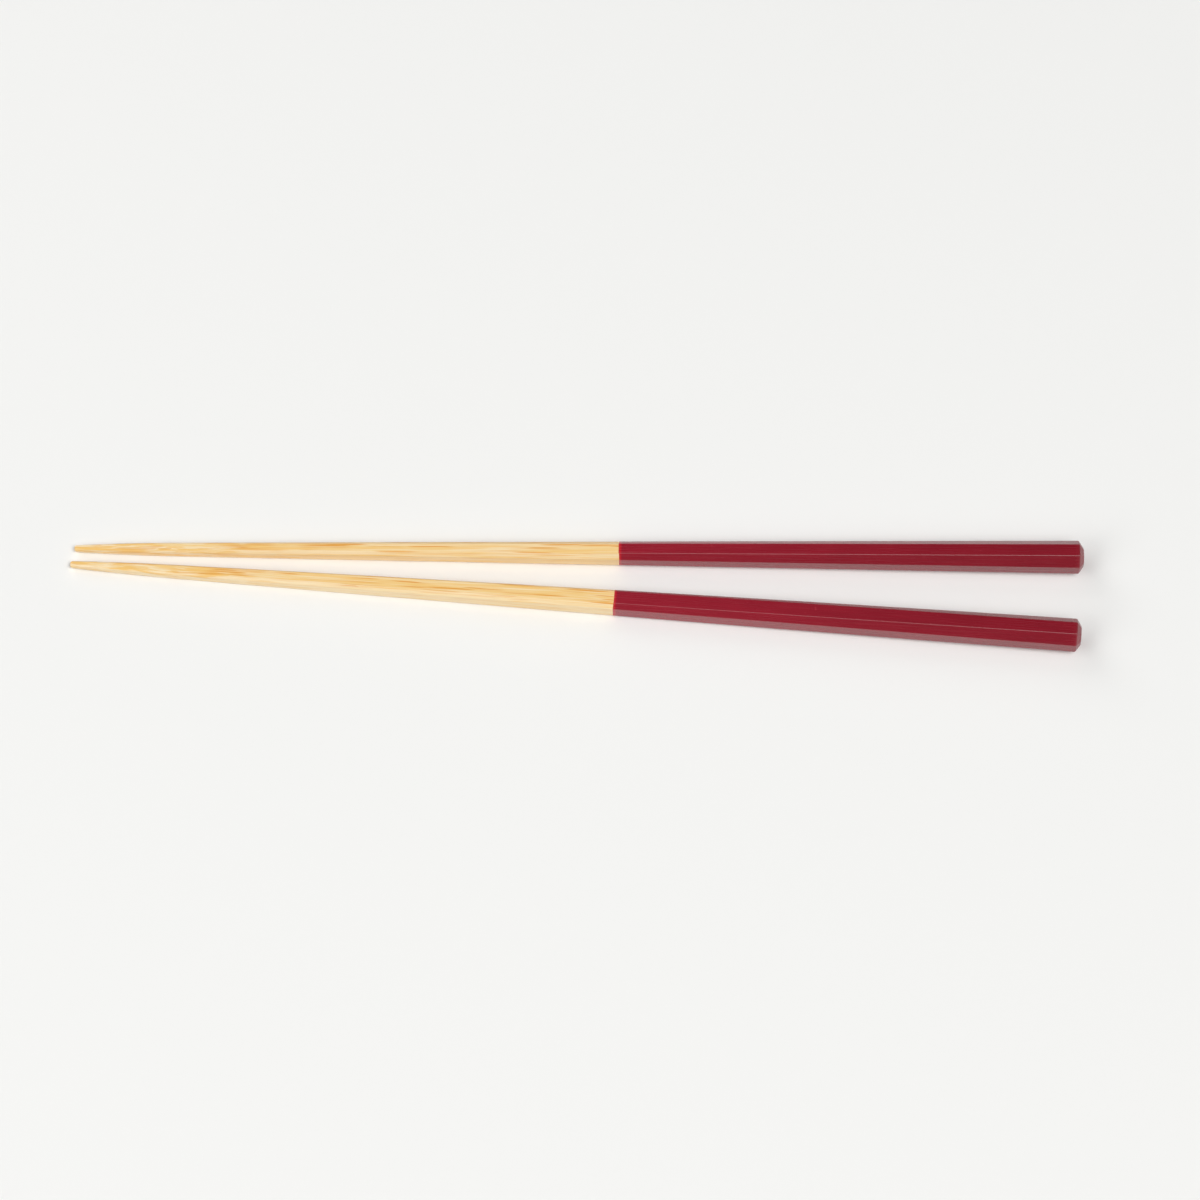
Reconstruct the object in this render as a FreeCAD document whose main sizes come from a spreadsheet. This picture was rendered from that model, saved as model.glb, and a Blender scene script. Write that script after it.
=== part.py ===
"""A pair of bamboo chopsticks with dipped handles, lying side by side on a table.

Each stick is planed from one square bar of bamboo: two pairs of flat facets, two pairs of
corner facets that widen towards the butt, a slender point, a bevelled butt and softened
edges. Both sticks lie on their lowest flat facet, points close together and butts apart.
The frame has +X from the points to the butts, +Y to the far stick and +Z up.
"""

import FreeCAD, Part

import math
import os

import Sketcher

Vector = FreeCAD.Vector

# Driving dimensions: name, value in millimetres or degrees, meaning
SIZES = (
    ("stick_length", 230.0, "point to butt"),
    ("neck", 24.0, "point to the end of the curved point"),
    ("tip_flats", 1.4, "across the flat facets at the point"),
    ("neck_flats", 2.7, "across the flat facets at the neck"),
    ("butt_flats", 7.0, "across the flat facets at the butt"),
    ("tip_corners", 1.58, "across the corner facets at the point"),
    ("neck_corners", 3.14, "across the corner facets at the neck"),
    ("butt_corners", 7.0, "across the corner facets at the butt"),
    ("far_stick_rear_swell", 0.12, "added half way from neck to butt where upper facet faces +Y"),
    ("far_stick_front_swell", 0.1, "added half way from neck to butt where upper facet faces -Y"),
    ("near_stick_rear_swell", 0.8, "added half way from neck to butt where upper facet faces +Y"),
    ("near_stick_front_swell", 0.26, "added half way from neck to butt where upper facet faces -Y"),
    ("bevel_length", 1.1, "butt bevel, along the stick"),
    ("bevel_depth", 1.5, "butt bevel, in from each facet"),
    ("edge_round", 0.25, "radius of every ridge"),
    ("tip_round", 0.45, "radius that the end of the point is worn to"),
    ("waste", 2.0, "how much thicker the square bar is than the butt, and how far cuts run past"),
    ("tip_spacing", 4.1, "between the middles of the two points"),
    ("spread", 3.98, "angle between the two sticks, in degrees"),
    ("far_stick_lead", 0.55, "how much further +X the far stick lies"),
)

# The outline's own point and upright axis, and the three points of an arc, as a sketch numbers them
ORIGIN, UPRIGHT_AXIS = range(-1, -3, -1)
START, END, CENTRE = range(1, 4)

# Which way a stick lies from the middle of the pair, as a sign along Y
FAR = 1
NEAR = -1

# Degrees about the stick's axis from +Y to the way that each pair of facets faces
SIDE_TURN = 0.0
TOP_TURN = 90.0
REAR_CORNER_TURN = 45.0
FRONT_CORNER_TURN = -45.0

# Degrees between two faces that make a ridge, which gets rounded
RIDGE = 8.0

# How far the dome of the point starts outside the ridges, as a share of its radius
DOME_MARGIN = 0.1

# The side of the square bar before planing
BAR_SIDE = "(Sizes.butt_flats + Sizes.waste)"


def make_sheet(doc):
    """Writes the driving dimensions into a spreadsheet and gives each its alias."""
    sheet = doc.addObject("Spreadsheet::Sheet", "Sizes")
    for row, (alias, value, meaning) in enumerate(SIZES, start=1):
        sheet.set(f"A{row}", alias)
        sheet.set(f"B{row}", str(value))
        sheet.set(f"C{row}", meaning)
        sheet.setAlias(f"B{row}", alias)
    doc.recompute()
    return {alias: float(sheet.get(alias)) for alias, _, _ in SIZES}


def new_sketch(body, name, role, turn=0.0):
    """An empty sketch on one of the body's base planes, turned about its X axis."""
    plane = next(item for item in body.Origin.OriginFeatures if item.Role == role)
    sketch = body.newObject("Sketcher::SketchObject", name)
    sketch.AttachmentSupport = (plane, [""])
    sketch.MapMode = "FlatFace"
    sketch.AttachmentOffset = FreeCAD.Placement(Vector(), FreeCAD.Rotation(Vector(1, 0, 0), turn))
    return sketch


def bind(sketch, name, formula, kind, *ends):
    """Adds a dimension between two points as drawn, names it and ties it to the sheet."""
    drawn = sketch.getPoint(*ends[2:]) - sketch.getPoint(*ends[:2])
    value = drawn.x if kind == "DistanceX" else drawn.y
    index = sketch.addConstraint(Sketcher.Constraint(kind, *ends, value))
    sketch.renameConstraint(index, name)
    sketch.setExpression(f"Constraints.{name}", formula)


def make_bar(body, sizes):
    """The square bar, cut to the length of the stick."""
    sketch = new_sketch(body, "BarEnd", "YZ_Plane")
    half = (sizes["butt_flats"] + sizes["waste"]) / 2
    corners = [Vector(-half, -half), Vector(half, -half), Vector(half, half), Vector(-half, half)]
    for corner, following in zip(corners, corners[1:] + corners[:1]):
        sketch.addGeometry(Part.LineSegment(corner, following))
    bottom, right, top, left = range(4)
    for side, following in ((bottom, right), (right, top), (top, left), (left, bottom)):
        sketch.addConstraint(Sketcher.Constraint("Coincident", side, END, following, START))
    for level, upright in ((bottom, right), (top, left)):
        sketch.addConstraint(Sketcher.Constraint("Horizontal", level))
        sketch.addConstraint(Sketcher.Constraint("Vertical", upright))
    sketch.addConstraint(Sketcher.Constraint("Symmetric", bottom, START, top, START, ORIGIN, START))
    bind(sketch, "BarWidth", BAR_SIDE, "DistanceX", bottom, START, bottom, END)
    bind(sketch, "BarHeight", BAR_SIDE, "DistanceY", right, START, right, END)
    bar = body.newObject("PartDesign::Pad", "Bar")
    bar.Profile = sketch
    bar.setExpression("Length", "Sizes.stick_length")
    return bar


def arc_into(start, end, slope):
    """The arc from start to end that meets a line of this slope at its end."""
    along = Vector(1, slope, 0).normalize()
    across = Vector(-along.y, along.x, 0)
    chord = start - end
    centre = end + across * (chord.dot(chord) / (2 * chord.dot(across)))
    middle = ((start - centre) + (end - centre)).normalize() * (end - centre).Length
    return Part.Arc(start, centre + middle, end)


def slope_of_arc(first, middle, last):
    """The slope, at its first end, of the arc through three points."""
    centre = Part.Arc(first, middle, last).toShape().Curve.Center
    return -(first.x - centre.x) / (first.y - centre.y)


def draw_shaving(sketch, sizes, side, tip, neck, butt, swell=None):
    """Draws what the plane takes off on one side of the axis, and ties it to the sheet.

    Its inner edge is a facet seen on edge: the curved point, a straight or gently bowed
    run to the rim, and the bevel. tip, neck and butt name widths in the sheet, and swell
    names how much wider than straight the facets stand half way along that run.
    """
    word = "Upper" if side > 0 else "Lower"
    length = sizes["stick_length"]
    rim = length - sizes["bevel_length"]
    end_half = sizes[butt] / 2 - sizes["bevel_depth"]
    past_end = length + sizes["waste"]
    before_tip = -sizes["waste"]
    outside = sizes["butt_flats"] + sizes["waste"]
    tip_point = Vector(0, side * sizes[tip] / 2)
    neck_point = Vector(sizes["neck"], side * sizes[neck] / 2)
    rim_point = Vector(rim, side * sizes[butt] / 2)
    if swell:
        swell_point = (neck_point + rim_point + Vector(0, side * sizes[swell])) / 2
        facet = Part.Arc(neck_point, swell_point, rim_point)
        slope = slope_of_arc(neck_point, swell_point, rim_point)
    else:
        facet = Part.LineSegment(neck_point, rim_point)
        slope = (rim_point.y - neck_point.y) / (rim_point.x - neck_point.x)
    corners = [
        rim_point,
        Vector(length, side * end_half),
        Vector(past_end, side * end_half),
        Vector(past_end, side * outside),
        Vector(before_tip, side * outside),
        Vector(before_tip, tip_point.y),
        tip_point,
    ]
    first = sketch.GeometryCount
    sketch.addGeometry(arc_into(tip_point, neck_point, slope))
    sketch.addGeometry(facet)
    for corner, following in zip(corners, corners[1:]):
        sketch.addGeometry(Part.LineSegment(corner, following))
    point_arc, facet_run, bevel, end_line, end_wall, outer, tip_wall, tip_line = range(first, first + 8)

    # Arcs run anticlockwise, so above the axis an arc starts at its butt end
    arc_tip, arc_butt = (END, START) if side > 0 else (START, END)
    facet_tip, facet_butt = (arc_tip, arc_butt) if swell else (START, END)
    for rule in (
        ("Tangent", point_arc, arc_butt, facet_run, facet_tip),
        ("Coincident", facet_run, facet_butt, bevel, START),
        ("Coincident", bevel, END, end_line, START),
        ("Coincident", end_line, END, end_wall, START),
        ("Coincident", end_wall, END, outer, START),
        ("Coincident", outer, END, tip_wall, START),
        ("Coincident", tip_wall, END, tip_line, START),
        ("Coincident", tip_line, END, point_arc, arc_tip),
        ("PointOnObject", point_arc, arc_tip, UPRIGHT_AXIS),
        ("Horizontal", end_line),
        ("Vertical", end_wall),
        ("Horizontal", outer),
        ("Vertical", tip_wall),
        ("Horizontal", tip_line),
    ):
        sketch.addConstraint(Sketcher.Constraint(*rule))

    def height(name, formula, *point):
        ends = (ORIGIN, START, *point) if side > 0 else (*point, ORIGIN, START)
        bind(sketch, word + name, formula, "DistanceY", *ends)

    def reach(name, formula, *point):
        bind(sketch, word + name, formula, "DistanceX", ORIGIN, START, *point)

    height("TipHalf", f"Sizes.{tip} / 2", point_arc, arc_tip)
    height("NeckHalf", f"Sizes.{neck} / 2", facet_run, facet_tip)
    height("ButtHalf", f"Sizes.{butt} / 2", bevel, START)
    height("EndHalf", f"Sizes.{butt} / 2 - Sizes.bevel_depth", bevel, END)
    height("Outside", BAR_SIDE, outer, START)
    reach("Neck", "Sizes.neck", facet_run, facet_tip)
    reach("Rim", "Sizes.stick_length - Sizes.bevel_length", bevel, START)
    reach("Length", "Sizes.stick_length", bevel, END)
    reach("PastEnd", "Sizes.stick_length + Sizes.waste", end_wall, START)
    bind(sketch, word + "BeforeTip", "Sizes.waste", "DistanceX", tip_wall, START, ORIGIN, START)
    if swell:
        mark = sketch.addGeometry(Part.Point(swell_point), True)
        sketch.addConstraint(Sketcher.Constraint("PointOnObject", mark, START, facet_run))
        straight = f"(Sizes.{neck} + Sizes.{butt}) / 2"
        height("SwellHalf", f"({straight} + Sizes.{swell}) / 2", mark, START)
        reach("Midway", "(Sizes.neck + Sizes.stick_length - Sizes.bevel_length) / 2", mark, START)


def plane_pair(body, sizes, name, turn, *widths):
    """Planes two opposite facets, which face along the base Y axis turned about X."""
    sketch = new_sketch(body, name + "Outline", "XY_Plane", turn)
    for side in (1, -1):
        draw_shaving(sketch, sizes, side, *widths)
    pocket = body.newObject("PartDesign::Pocket", name)
    pocket.Profile = sketch
    pocket.Midplane = True
    # Twice the bar's side is more than its diagonal, so the plane cuts right across
    pocket.setExpression("Length", f"2 * {BAR_SIDE}")
    return pocket


def ridges(shape, beyond):
    """The names of the edges past this distance from the point where two faces meet at an angle."""
    names = []
    for number, edge in enumerate(shape.Edges, start=1):
        if edge.BoundBox.XMax < beyond:
            continue
        faces = [face for face in shape.Faces if any(edge.isSame(other) for other in face.Edges)]
        middle = edge.valueAt((edge.FirstParameter + edge.LastParameter) / 2)
        normals = [face.normalAt(*face.Surface.parameter(middle)) for face in faces]
        if math.degrees(normals[0].getAngle(normals[1])) > RIDGE:
            names.append(f"Edge{number}")
    return names


def soften_edges(body, sizes, planed):
    """Rounds every ridge of the planed stick, from the end of the point to the butt."""
    rounded = body.newObject("PartDesign::Fillet", "SoftEdges")
    rounded.Base = (planed, ridges(planed.Shape, sizes["tip_round"]))
    rounded.setExpression("Radius", "Sizes.edge_round")


def dome_point(body, sizes):
    """Turns the end of the point to a dome: a quarter round that meets the facets' ridges."""
    half_flat = sizes["tip_flats"] / 2
    ridge = math.hypot(half_flat, sizes["tip_corners"] / math.sqrt(2) - half_flat)
    radius = sizes["tip_round"]
    outer = ridge + radius * DOME_MARGIN
    past = sizes["waste"]
    sketch = new_sketch(body, "DomeOutline", "XY_Plane")
    low, high = Vector(0, outer - radius), Vector(radius, outer)
    middle = Vector(radius, outer - radius) + Vector(-radius, radius) / math.sqrt(2)
    corners = [high, Vector(radius, outer + past), Vector(-past, outer + past), Vector(-past, low.y), low]
    sketch.addGeometry(Part.Arc(low, middle, high))
    for corner, following in zip(corners, corners[1:]):
        sketch.addGeometry(Part.LineSegment(corner, following))
    arc, wall, top, front, floor = range(5)

    # The arc runs anticlockwise, from its high end to its low one
    for rule in (
        ("Coincident", arc, START, wall, START),
        ("Coincident", wall, END, top, START),
        ("Coincident", top, END, front, START),
        ("Coincident", front, END, floor, START),
        ("Coincident", floor, END, arc, END),
        ("PointOnObject", arc, END, UPRIGHT_AXIS),
        ("Vertical", wall),
        ("Horizontal", top),
        ("Vertical", front),
        ("Horizontal", floor),
    ):
        sketch.addConstraint(Sketcher.Constraint(*rule))
    half = "Sizes.tip_flats / 2"
    reach = f"sqrt(pow({half}; 2) + pow(Sizes.tip_corners / sqrt(2) - {half}; 2))"
    low_height = f"{reach} - Sizes.tip_round * {1 - DOME_MARGIN}"
    high_height = f"{reach} + Sizes.tip_round * {DOME_MARGIN}"
    bind(sketch, "DomeLow", low_height, "DistanceY", ORIGIN, START, arc, END)
    bind(sketch, "DomeHigh", high_height, "DistanceY", ORIGIN, START, arc, START)
    bind(sketch, "DomeLength", "Sizes.tip_round", "DistanceX", ORIGIN, START, arc, START)
    bind(sketch, "DomeCentre", "Sizes.tip_round", "DistanceX", ORIGIN, START, arc, CENTRE)
    bind(sketch, "Past", "Sizes.waste", "DistanceX", front, END, ORIGIN, START)
    bind(sketch, "Above", "Sizes.waste", "DistanceY", wall, START, wall, END)
    groove = body.newObject("PartDesign::Groove", "DomedPoint")
    groove.Profile = sketch
    groove.ReferenceAxis = (sketch, ["H_Axis"])
    groove.Angle = 360.0


def lay_down(body, side):
    """Turns the stick into its direction and tips it until its lowest flat facet is level."""
    slope = (
        "(Sizes.butt_flats - Sizes.neck_flats) / 2"
        " / (Sizes.stick_length - Sizes.bevel_length - Sizes.neck)"
    )
    half_at_point = f"(Sizes.neck_flats / 2 - Sizes.neck * ({slope}))"
    middle = "-(Sizes.stick_length * cos(Sizes.spread * 1 deg / 2) + Sizes.far_stick_lead) / 2"
    start = f"{middle} + Sizes.far_stick_lead" if side == FAR else middle
    base = (
        f"create(<<vector>>; {start}; {side} * Sizes.tip_spacing / 2;"
        f" {half_at_point} * cos(atan({slope})))"
    )
    turn = f"create(<<rotation>>; {side} * Sizes.spread / 2; -atan({slope}) / 1 deg; 0)"
    body.setExpression("Placement", f"create(<<placement>>; {base}; {turn})")


def make_stick(doc, sizes, label, side):
    """One stick: the bar, four pairs of facets planed on it, and softened edges."""
    body = doc.addObject("PartDesign::Body", label)
    body.Label = label
    make_bar(body, sizes)
    stick = "far_stick" if side == FAR else "near_stick"
    flats = ("tip_flats", "neck_flats", "butt_flats")
    corners = ("tip_corners", "neck_corners", "butt_corners")
    rear, front = f"{stick}_rear_swell", f"{stick}_front_swell"
    plane_pair(body, sizes, "SideFacets", SIDE_TURN, *flats)
    plane_pair(body, sizes, "TopAndBottomFacets", TOP_TURN, *flats)
    plane_pair(body, sizes, "RearCornerFacets", REAR_CORNER_TURN, *corners, rear)
    planed = plane_pair(body, sizes, "FrontCornerFacets", FRONT_CORNER_TURN, *corners, front)
    doc.recompute()
    soften_edges(body, sizes, planed)
    dome_point(body, sizes)
    lay_down(body, side)
    return body


def check(doc, sticks):
    """Stops if an object failed or a stick is empty or broken."""
    for item in doc.Objects:
        if "Invalid" in item.State or "Error" in item.State:
            raise RuntimeError(f"{item.Label} failed: {item.State}")
    for stick in sticks:
        if stick.Shape.isNull() or not stick.Shape.isValid():
            raise RuntimeError(f"{stick.Label} has no valid shape")


def main():
    """Builds both sticks and writes a file for each."""
    doc = FreeCAD.newDocument("Chopsticks")
    sizes = make_sheet(doc)
    sticks = [
        make_stick(doc, sizes, "far_chopstick", FAR),
        make_stick(doc, sizes, "near_chopstick", NEAR),
    ]
    doc.recompute()
    check(doc, sticks)
    os.makedirs("parts", exist_ok=True)
    for stick in sticks:
        stick.Shape.exportStep(f"parts/{stick.Label}.step")
        box = stick.Shape.BoundBox
        print(stick.Label, len(stick.Shape.Solids), round(stick.Shape.Volume, 1), box)


main()
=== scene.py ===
"""Dresses a pair of bamboo chopsticks whose handles were dipped in red lacquer.

Each stick is two surfaces worked out in its own frame, in millimetres: s runs along the
stick from the point, u across it towards the far side and w upwards. The bare shaft runs
from the point to just under the lacquer, and the lacquered handle runs on to the butt.
Both stand for the stick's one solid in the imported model.
"""

from __future__ import annotations

import logging
import math
from dataclasses import dataclass, replace
from enum import Enum
from functools import reduce

import bpy
import numpy as np
from mathutils import Matrix, Vector

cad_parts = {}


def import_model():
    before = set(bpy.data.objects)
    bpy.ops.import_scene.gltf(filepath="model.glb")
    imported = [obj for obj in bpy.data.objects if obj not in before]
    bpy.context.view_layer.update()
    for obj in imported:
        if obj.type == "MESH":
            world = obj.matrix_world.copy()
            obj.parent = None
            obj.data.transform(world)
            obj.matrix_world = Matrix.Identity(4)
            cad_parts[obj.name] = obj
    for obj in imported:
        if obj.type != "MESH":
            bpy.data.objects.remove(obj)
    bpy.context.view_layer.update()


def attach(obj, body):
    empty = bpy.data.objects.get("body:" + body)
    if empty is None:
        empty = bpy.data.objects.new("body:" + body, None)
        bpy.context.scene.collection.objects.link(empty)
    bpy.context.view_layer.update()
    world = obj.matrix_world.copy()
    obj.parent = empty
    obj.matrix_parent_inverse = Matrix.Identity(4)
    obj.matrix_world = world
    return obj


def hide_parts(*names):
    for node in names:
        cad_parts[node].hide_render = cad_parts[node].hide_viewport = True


LOG = logging.getLogger("chopsticks")
MM = 0.001
FACETS = 8
FACET_TURN = math.tau / FACETS
RIGHT_ANGLE = math.pi / 2
FACET_COLUMNS = 5
RIDGE_COLUMNS = 8
END_FACE_ROWS = 5
BEND_ROWS = 8
MOST_ROUNDING = 0.8  # a ridge's radius, at most, as a share of the nearest facet's distance
FINE_RELIEF = 2e-5  # metres

Colour = tuple[float, float, float, float]
Socket = bpy.types.NodeSocket


def tint(red: int, green: int, blue: int) -> Colour:
    """A display colour in 0 to 255 as the linear colour that shaders take.

    The standard curve is straight for the darkest levels and a power of 2.4 above them.

    Args:
        red: The red level.
        green: The green level.
        blue: The blue level.

    Returns:
        The colour as linear red, green, blue and a full alpha.
    """
    levels = np.array([red, green, blue]) / 255
    linear = np.where(levels > 0.04045, ((levels + 0.055) / 1.055) ** 2.4, levels / 12.92)
    return (*(float(level) for level in linear), 1.0)


class Side(Enum):
    """Which of the two sticks: the sign of its place along Y."""

    FAR = 1
    NEAR = -1

    @property
    def word(self) -> str:
        """The word that the stick's pieces start with."""
        return self.name.lower()


@dataclass(frozen=True)
class Ease:
    """A smooth change of a value, level before and after it.

    Attributes:
        low: Where the change begins.
        high: Where it ends.
        start: The result below low.
        end: The result above high.
    """

    low: float
    high: float
    start: float = 0.0
    end: float = 1.0

    def moved(self, offset: float) -> Ease:
        """The same change, begun and ended further on by the offset."""
        return replace(self, low=self.low + offset, high=self.high + offset)


@dataclass(frozen=True)
class Lumps:
    """Smooth noise with lumps of one length along the stick and another across it.

    Attributes:
        along: Lumps per millimetre along the stick.
        across: Lumps per millimetre across it.
        detail: How many finer octaves are added.
        roughness: How strong the finer octaves are.
    """

    along: float
    across: float
    detail: float = 2.0
    roughness: float = 0.5


class Graph:
    """The nodes of one material or world, added and joined by short calls."""

    def __init__(self, tree: bpy.types.NodeTree) -> None:
        """Takes a node tree and empties it."""
        tree.nodes.clear()
        self.tree = tree

    def add(self, kind: str, inputs: dict | None = None, **settings: object) -> bpy.types.Node:
        """Adds a node, sets its options and fills or links its inputs.

        Args:
            kind: The node's type without the ShaderNode prefix.
            inputs: Values or output sockets by input name or number.
            **settings: Options of the node.

        Returns:
            The node.
        """
        node = self.tree.nodes.new("ShaderNode" + kind)
        for name, value in settings.items():
            setattr(node, name, value)
        for name, value in (inputs or {}).items():
            if isinstance(value, Socket):
                self.tree.links.new(value, node.inputs[name])
            else:
                node.inputs[name].default_value = value
        return node

    def maths(self, operation: str, *values: object) -> Socket:
        """The result of a Math node that reads numbers or sockets."""
        return self.add("Math", dict(enumerate(values)), operation=operation).outputs[0]

    def product(self, *values: object) -> Socket:
        """All the numbers or sockets multiplied together."""
        return reduce(lambda one, other: self.maths("MULTIPLY", one, other), values)

    def vector(self, operation: str, *values: object) -> Socket:
        """The result of a Vector Math node, which is a number for a dot product."""
        outputs = self.add("VectorMath", dict(enumerate(values)), operation=operation).outputs
        return outputs["Value"] if operation == "DOT_PRODUCT" else outputs["Vector"]

    def parts(self, place: Socket) -> tuple[Socket, ...]:
        """The s, u and w of a place, each as a number."""
        return tuple(self.add("SeparateXYZ", {0: place}).outputs)

    def stretch(self, place: Socket, along: float, across: float) -> Socket:
        """A place scaled by one factor along the stick and another across it."""
        return self.vector("MULTIPLY", place, (along, across, across))

    def ramp(self, value: Socket, ease: Ease) -> Socket:
        """Sends a value through a smooth change.

        Args:
            value: The socket to read.
            ease: The change.

        Returns:
            The result's socket.
        """
        inputs = {
            "Value": value,
            "From Min": ease.low,
            "From Max": ease.high,
            "To Min": ease.start,
            "To Max": ease.end,
        }
        return self.add("MapRange", inputs, interpolation_type="SMOOTHSTEP").outputs["Result"]

    def noise(self, place: Socket, lumps: Lumps, output: str = "Fac") -> Socket:
        """Smooth noise over a place.

        Args:
            place: The place to read.
            lumps: The size and kind of its lumps.
            output: The output to return.

        Returns:
            The noise's socket.
        """
        inputs = {
            "Vector": self.stretch(place, lumps.along, lumps.across),
            "Scale": 1.0,
            "Detail": lumps.detail,
            "Roughness": lumps.roughness,
        }
        return self.add("TexNoise", inputs).outputs[output]

    def cells(self, place: Socket) -> tuple[Socket, Socket]:
        """Cells round scattered points, about one per unit of the place it reads.

        Args:
            place: The place to read.

        Returns:
            The distance from the cell's point, and a number from 0 to 1 that is the cell's own.
        """
        node = self.add("TexVoronoi", {"Vector": place, "Scale": 1.0})
        chance = self.add("SeparateColor", {0: node.outputs["Color"]}).outputs[0]
        return node.outputs["Distance"], chance

    def blend(self, amount: object, first: object, second: object) -> Socket:
        """Mixes two colours.

        Args:
            amount: The share of the second colour.
            first: A colour or socket.
            second: A colour or socket.

        Returns:
            The mixed colour's socket.
        """
        node = self.add("Mix", {"Factor": amount}, data_type="RGBA")
        sockets = [item for item in node.inputs if item.type == "RGBA"]
        for socket, colour in zip(sockets, (first, second)):
            if isinstance(colour, Socket):
                self.tree.links.new(colour, socket)
            else:
                socket.default_value = colour
        return next(item for item in node.outputs if item.type == "RGBA")

    def layers(self, base: Socket, *coats: tuple[Socket, Colour]) -> Socket:
        """Lays colours over a base, each with its share, from the lowest to the topmost."""
        return reduce(lambda below, coat: self.blend(coat[0], below, coat[1]), coats, base)

    def bump(self, strength: float, height: Socket) -> Socket:
        """The shading normal over a relief as deep as the fine relief."""
        inputs = {"Strength": strength, "Distance": FINE_RELIEF, "Height": height}
        return self.add("Bump", inputs).outputs[0]

    def show(self, shader: str, inputs: dict, output: str = "OutputMaterial") -> None:
        """Adds a shader and joins it to the output."""
        self.add(output, {"Surface": self.add(shader, inputs).outputs[0]})


def new_material(name: str) -> tuple[bpy.types.Material, Graph]:
    """Makes an empty material.

    Args:
        name: Its name.

    Returns:
        The material, and the graph that fills it.
    """
    material = bpy.data.materials.new(name)
    material.use_nodes = True
    return material, Graph(material.node_tree)


def new_object(name: str, data: bpy.types.ID) -> bpy.types.Object:
    """Puts a mesh, a lamp or a camera into the scene.

    Args:
        name: The object's name.
        data: What it shows.

    Returns:
        The object.
    """
    thing = bpy.data.objects.new(name, data)
    bpy.context.scene.collection.objects.link(thing)
    return thing


@dataclass(frozen=True)
class Lay:
    """How a stick lies in the row frame.

    Attributes:
        side: Which stick it is.
        start: X of the point of the stick's axis, in millimetres.
        spacing: Between the middles of the two points.
        spread: Angle between the two sticks, in degrees.
        rise: Height of the axis gained per length, so that the lowest facet lies level.
        axis_height: Height of the axis at the point.
    """

    side: Side
    start: float
    spacing: float = 4.1
    spread: float = 3.98
    rise: float = 2.15 / 204.9
    axis_height: float = 1.0989

    def matrix(self) -> Matrix:
        """The stick's own frame, in millimetres, as it lies in the row frame, in metres."""
        yaw = math.radians(self.side.value * self.spread / 2)
        turn = Matrix.Rotation(yaw, 4, "Z") @ Matrix.Rotation(-math.atan(self.rise), 4, "Y")
        place = Vector((self.start, self.side.value * self.spacing / 2, self.axis_height)) * MM
        return Matrix.Translation(place) @ turn @ Matrix.Scale(MM, 4)

    def read(self, graph: Graph) -> Socket:
        """The stick's own (s, u, w) in millimetres at a shaded point.

        Args:
            graph: The material's nodes.

        Returns:
            The socket of the place.
        """
        location, rotation, _ = self.matrix().decompose()
        inputs = {
            "Vector": graph.add("TexCoord").outputs["Object"],
            "Location": location,
            "Rotation": rotation.to_euler(),
            "Scale": (MM,) * 3,
        }
        return graph.add("Mapping", inputs, vector_type="TEXTURE").outputs[0]


@dataclass(frozen=True)
class Wood:
    """What sets one stick's wood apart from the other's.

    Attributes:
        seed: Shifts the patterns, those of the lacquer over it too.
        pale_side: The pale side's angle from the top towards the near side, in degrees.
        pale_share: How pale that side is, 1 for the palest wood; partly a painted sheen.
    """

    seed: float
    pale_side: float
    pale_share: float


@dataclass(frozen=True)
class Bundles:
    """Fibre bundles: long thin spindles along the grain, of which a share is left out.

    Attributes:
        spacing: Between spindles, across the grain, in millimetres.
        length: Between spindles, along the grain.
        rarity: The share that is left out.
        strength: How dark they are, 1 for the darkest.
        core: Darkness by the distance from a spindle's middle.
        onset: Darkness by how far a spindle's own number lies past the rarity.
    """

    spacing: float
    length: float
    rarity: float
    strength: float
    core: Ease = Ease(0.26, 0.44, 1.0, 0.0)
    onset: Ease = Ease(0.0, 0.25)

    def draw(self, graph: Graph, grain: Socket) -> Socket:
        """Draws the bundles.

        Args:
            graph: The material's nodes.
            grain: The place along the wandering grain, in millimetres.

        Returns:
            A socket that is the strength in the spindles and 0 between them.
        """
        distance, chance = graph.cells(graph.stretch(grain, 1 / self.length, 1 / self.spacing))
        shown = graph.ramp(chance, self.onset.moved(self.rarity))
        return graph.product(graph.ramp(distance, self.core), shown, self.strength)


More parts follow.
